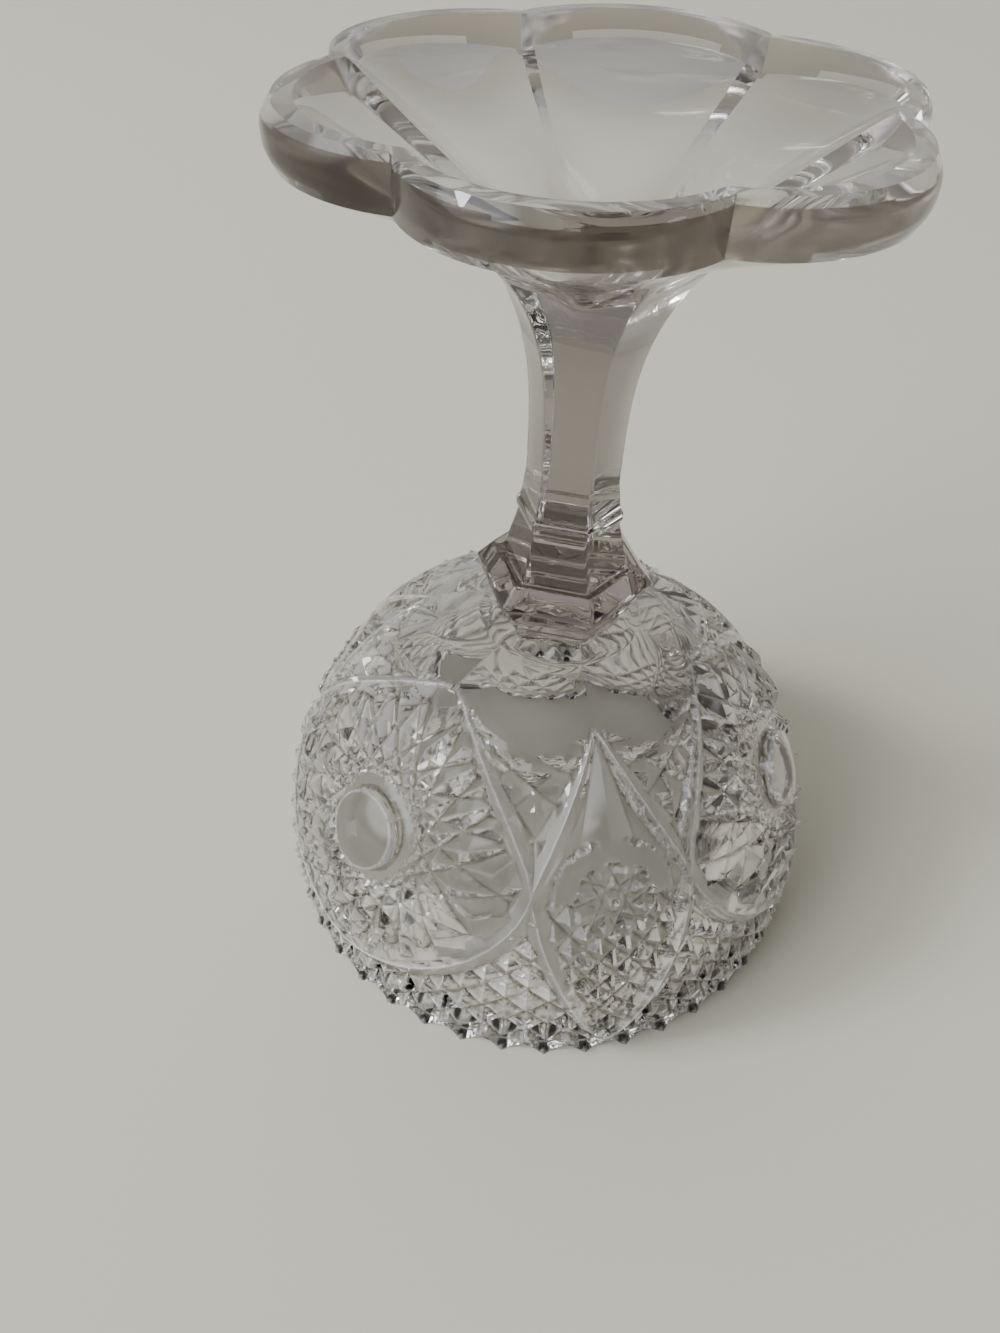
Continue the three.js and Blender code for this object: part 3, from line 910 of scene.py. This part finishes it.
def glass_material():
    """Fire-polished glass with faint ripples and handling marks, a little milky on its crests."""
    material, tree, surface = new_material("pressed_glass")
    glass = glass_shader(tree)
    marks = varied(tree, scale=45, detail=6, source=(0.5, 0.8), target=(0, 0.07))
    clearness = creased(tree, source=(-0.45, -0.1), target=(0.78, 1))
    ripples = varied(tree, scale=110, detail=2, source=(0, 1), target=(0, 1))
    bump = tree.nodes.new("ShaderNodeBump")
    bump.inputs["Strength"].default_value = RIPPLE_STRENGTH
    bump.inputs["Distance"].default_value = RIPPLE_DISTANCE
    tree.links.new(ripples, bump.inputs["Height"])
    tree.links.new(marks, glass.inputs["Roughness"])
    tree.links.new(clearness, glass.inputs["Transmission Weight"])
    tree.links.new(bump.outputs["Normal"], glass.inputs["Normal"])
    tree.links.new(glass.outputs["BSDF"], surface)
    return material


def deep_material():
    """Neck and collar, with much more glass behind the surface than light crosses at once."""
    material, tree, surface = new_material("thick_glass")
    glass = glass_shader(tree, DEEP_SURFACE)
    marks = varied(tree, scale=45, detail=6, source=(0.5, 0.8), target=(0, 0.05))
    tree.links.new(marks, glass.inputs["Roughness"])
    tree.links.new(glass.outputs["BSDF"], surface)
    return material


def shaded_edge_material():
    """The foot's upright edge, with painted shade that makes it darker than the thick glass, and a
    little satin.
    """
    material, tree, surface = new_material("foot_edge_shade")
    glass = glass_shader(tree, EDGE_SHADE)
    satin = varied(tree, scale=60, detail=4, source=(0.3, 0.7), target=(0.14, 0.24))
    tree.links.new(satin, glass.inputs["Roughness"])
    tree.links.new(glass.outputs["BSDF"], surface)
    return material


def worn_material():
    """The raised bars, which rub against shelves and cloths and have gone a little milky."""
    material, tree, surface = new_material("worn_bars")
    glass = glass_shader(tree)
    clearness = creased(tree, source=(-0.3, -0.05), target=(0.6, 0.95))
    marks = varied(tree, scale=140, detail=5, source=(0.4, 0.8), target=(0, 0.05))
    tree.links.new(clearness, glass.inputs["Transmission Weight"])
    tree.links.new(marks, glass.inputs["Roughness"])
    tree.links.new(glass.outputs["BSDF"], surface)
    return material


def fused_material():
    """Where two pieces are fused there is no surface, so the faces between them don't show."""
    material, tree, surface = new_material("fused_joint")
    clear = tree.nodes.new("ShaderNodeBsdfTransparent")
    tree.links.new(clear.outputs["BSDF"], surface)
    return material


def floor_material():
    material, tree, surface = new_material("pale_paper")
    paper = tree.nodes.new("ShaderNodeBsdfPrincipled")
    paper.inputs["Roughness"].default_value = FLOOR_ROUGHNESS
    paper.inputs["Base Color"].default_value = FLOOR_COLOUR
    tree.links.new(paper.outputs["BSDF"], surface)
    return material


# Camera, light and floor


def make_camera():
    heading, pitch, roll = (math.radians(a) for a in (CAMERA_HEADING, CAMERA_PITCH, CAMERA_ROLL))
    forward = Vector((
        math.cos(pitch) * math.sin(heading),
        math.cos(pitch) * math.cos(heading),
        -math.sin(pitch),
    ))
    level_right = Vector((math.cos(heading), -math.sin(heading), 0))
    level_down = forward.cross(level_right)
    right = level_right * math.cos(roll) + level_down * math.sin(roll)
    down = level_down * math.cos(roll) - level_right * math.sin(roll)
    data = bpy.data.cameras.new("camera")
    data.sensor_width = SENSOR_MM
    data.lens = FOCAL_PIXELS / FRAME_HEIGHT_PIXELS * SENSOR_MM
    data.clip_start = CAMERA_CLIP
    camera = bpy.data.objects.new("camera", data)
    turn = Matrix((right, -down, -forward)).transposed()
    camera.matrix_world = Matrix.Translation(Vector(CAMERA_PLACE) * MM) @ turn.to_4x4()
    bpy.context.scene.collection.objects.link(camera)
    bpy.context.scene.camera = camera


def make_floor():
    """A plain floor, whose half width is in metres."""
    half = FLOOR_HALF_WIDTH
    mesh = bpy.data.meshes.new("floor")
    corners = [(-half, -half, 0), (half, -half, 0), (half, half, 0), (-half, half, 0)]
    mesh.from_pydata(corners, [], [(0, 1, 2, 3)])
    mesh.materials.append(floor_material())
    floor = bpy.data.objects.new("floor", mesh)
    bpy.context.scene.collection.objects.link(floor)


def make_panel(name, azimuth, elevation, distance, width, height, power):
    """A soft panel that faces the middle of the compote. Its lengths are metres."""
    data = bpy.data.lights.new(name, "AREA")
    data.shape = "RECTANGLE"
    data.size = width
    data.size_y = height
    data.energy = power
    panel = bpy.data.objects.new(name, data)
    turn, rise = math.radians(azimuth), math.radians(elevation)
    towards = Vector((
        math.sin(turn) * math.cos(rise),
        -math.cos(turn) * math.cos(rise),
        math.sin(rise),
    ))
    middle = Vector((0, 0, FOOT_TOP / 2 * MM))
    panel.location = middle + towards * distance
    panel.rotation_mode = "QUATERNION"
    panel.rotation_quaternion = towards.to_track_quat("Z", "Y")
    bpy.context.scene.collection.objects.link(panel)


def facing(tree, place, direction, source):
    """From 0 to 1 as places round the compote come nearer to a direction."""
    along = tree.nodes.new("ShaderNodeVectorMath")
    along.operation = "DOT_PRODUCT"
    along.inputs[1].default_value = direction
    tree.links.new(place, along.inputs[0])
    return ranged(tree, along.outputs["Value"], source, (0, 1), "SMOOTHSTEP")


def make_world():
    """A room that is pale behind and above the compote and dark behind the camera, with a window.

    It lights the glass and shows in it, and over the floor's edge stands a plain backdrop."""
    world = bpy.data.worlds.new("studio")
    world.use_nodes = True
    tree = world.node_tree
    place = tree.nodes.new("ShaderNodeTexCoord").outputs["Generated"]
    towards_back = facing(tree, place, ROOM_BACK, source=(-0.05, 0.62))
    towards_window = facing(tree, place, ROOM_WINDOW, source=(0.88, 0.95))
    room = mixed(tree, towards_back, DARK_ROOM, PALE_ROOM)
    lit_room = mixed(tree, towards_window, room, WINDOW_LIGHT)
    path = tree.nodes.new("ShaderNodeLightPath")
    seen = mixed(tree, path.outputs["Is Camera Ray"], lit_room, BACKDROP)
    tree.links.new(seen, tree.nodes["Background"].inputs["Color"])
    bpy.context.scene.world = world


materials = {
    "glass": glass_material(),
    "deep": deep_material(),
    "edge": shaded_edge_material(),
    "worn": worn_material(),
    "fused": fused_material(),
}
make_camera()
make_floor()
make_world()
make_panel("window", azimuth=-100, elevation=38, distance=2, width=0.5, height=0.35, power=14)

make_bowl()
make_neck()
make_collar()
make_stem()
make_foot()

cycles = bpy.context.scene.cycles
cycles.max_bounces = BOUNCES
cycles.glossy_bounces = BOUNCES
cycles.transmission_bounces = BOUNCES
cycles.transparent_max_bounces = BOUNCES
